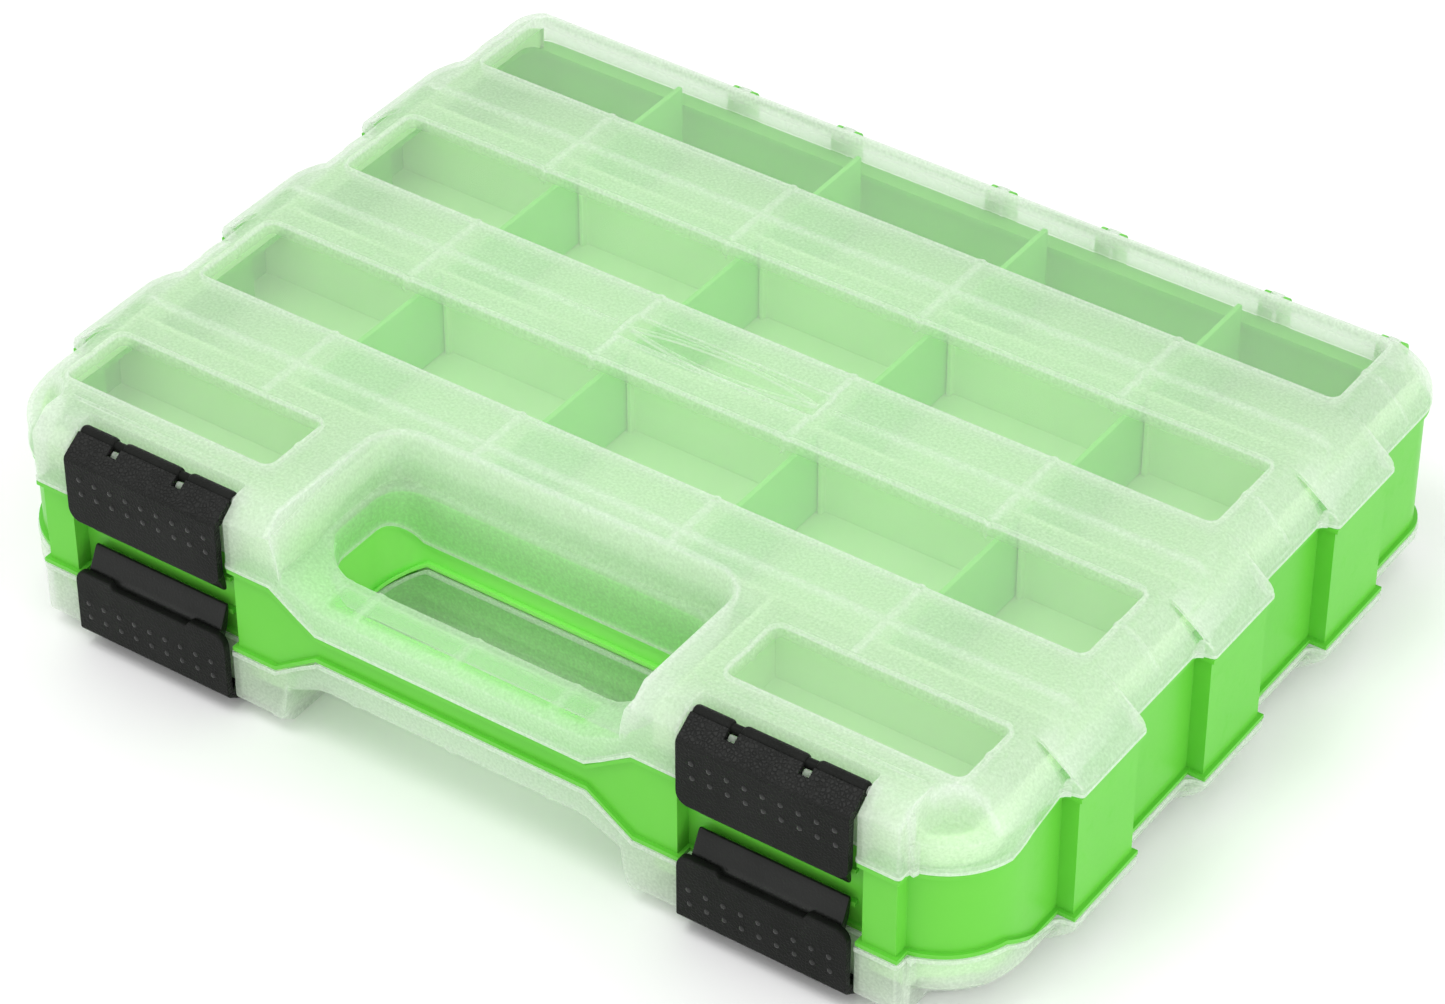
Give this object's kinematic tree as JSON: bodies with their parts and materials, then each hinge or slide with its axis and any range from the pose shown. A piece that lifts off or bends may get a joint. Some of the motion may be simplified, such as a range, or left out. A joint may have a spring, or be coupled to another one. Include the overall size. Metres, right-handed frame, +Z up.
{
  "type": "fishing tackle box",
  "caption": "Double-sided tackle organiser with a green divided tray, two hinged translucent lids, black snap latches and a built-in grip handle.",
  "frame": {"origin": "bottom centre of the bounding box, on the face the box stands on", "axes": "+X to the right seen from the handle, +Y from the handle to the hinges, +Z up"},
  "size_m": [0.32, 0.2486, 0.07],
  "materials": {
    "tray_green": "satin moulded polypropylene, bright green",
    "divider_green": "satin moulded polypropylene, bright green",
    "lid_clear": "frosted translucent polypropylene with clear windows",
    "latch_black": "fine leather grain, near black"
  },
  "bodies": {
    "tray": {"tray_shell": "tray_green", "tray_side_left": "tray_green", "tray_side_right": "tray_green", "tray_back": "tray_green", "tray_rim_top": "tray_green", "tray_rim_low": "tray_green", "rim_sides_top": "tray_green", "rim_sides_low": "tray_green", "rim_corners_top": "tray_green", "rim_corners_low": "tray_green", "rim_back_top": "tray_green", "rim_back_low": "tray_green", "tray_web": "tray_green", "tray_web_front": "tray_green", "row_wall_top_1": "tray_green", "row_wall_top_2": "tray_green", "row_wall_low_1": "tray_green", "row_wall_low_2": "tray_green", "front_walls_top": "tray_green", "front_walls_low": "tray_green", "divider_top_11": "divider_green", "divider_top_12": "divider_green", "divider_top_13": "divider_green", "divider_top_14": "divider_green", "divider_top_21": "divider_green", "divider_top_22": "divider_green", "divider_top_23": "divider_green", "divider_top_24": "divider_green", "divider_top_31": "divider_green", "divider_top_32": "divider_green", "divider_top_33": "divider_green", "divider_top_34": "divider_green", "divider_low_11": "divider_green", "divider_low_12": "divider_green", "divider_low_13": "divider_green", "divider_low_14": "divider_green", "divider_low_21": "divider_green", "divider_low_22": "divider_green", "divider_low_23": "divider_green", "divider_low_24": "divider_green", "divider_low_31": "divider_green", "divider_low_32": "divider_green", "divider_low_33": "divider_green", "divider_low_34": "divider_green"},
    "lid_top": {"lid_top": "lid_clear", "lid_rim_top": "lid_clear", "lid_grip_top": "lid_clear"},
    "lid_low": {"lid_low": "lid_clear", "lid_rim_low": "lid_clear", "lid_grip_low": "lid_clear"},
    "latch_top_left": {"latch_top_left": "latch_black"},
    "latch_top_right": {"latch_top_right": "latch_black"},
    "latch_low_left": {"latch_low_left": "latch_black"},
    "latch_low_right": {"latch_low_right": "latch_black"}
  },
  "joints": [
    {"name": "lid_top_hinge", "type": "hinge", "parent": "tray", "child": "lid_top", "pos_m": [0, 0.1213, 0.0585], "axis": [-1, 0, 0], "range_deg": [0, 110]},
    {"name": "lid_low_hinge", "type": "hinge", "parent": "tray", "child": "lid_low", "pos_m": [0, 0.1213, 0.0115], "axis": [1, 0, 0], "range_deg": [0, 110]},
    {"name": "latch_top_left_hinge", "type": "hinge", "parent": "lid_top", "child": "latch_top_left", "pos_m": [-0.09725, -0.1155, 0.067], "axis": [-1, 0, 0], "range_deg": [0, 78]},
    {"name": "latch_top_right_hinge", "type": "hinge", "parent": "lid_top", "child": "latch_top_right", "pos_m": [0.09725, -0.1155, 0.067], "axis": [-1, 0, 0], "range_deg": [0, 78]},
    {"name": "latch_low_left_hinge", "type": "hinge", "parent": "lid_low", "child": "latch_low_left", "pos_m": [-0.09725, -0.1155, 0.003], "axis": [1, 0, 0], "range_deg": [0, 78]},
    {"name": "latch_low_right_hinge", "type": "hinge", "parent": "lid_low", "child": "latch_low_right", "pos_m": [0.09725, -0.1155, 0.003], "axis": [1, 0, 0], "range_deg": [0, 78]}
  ]
}
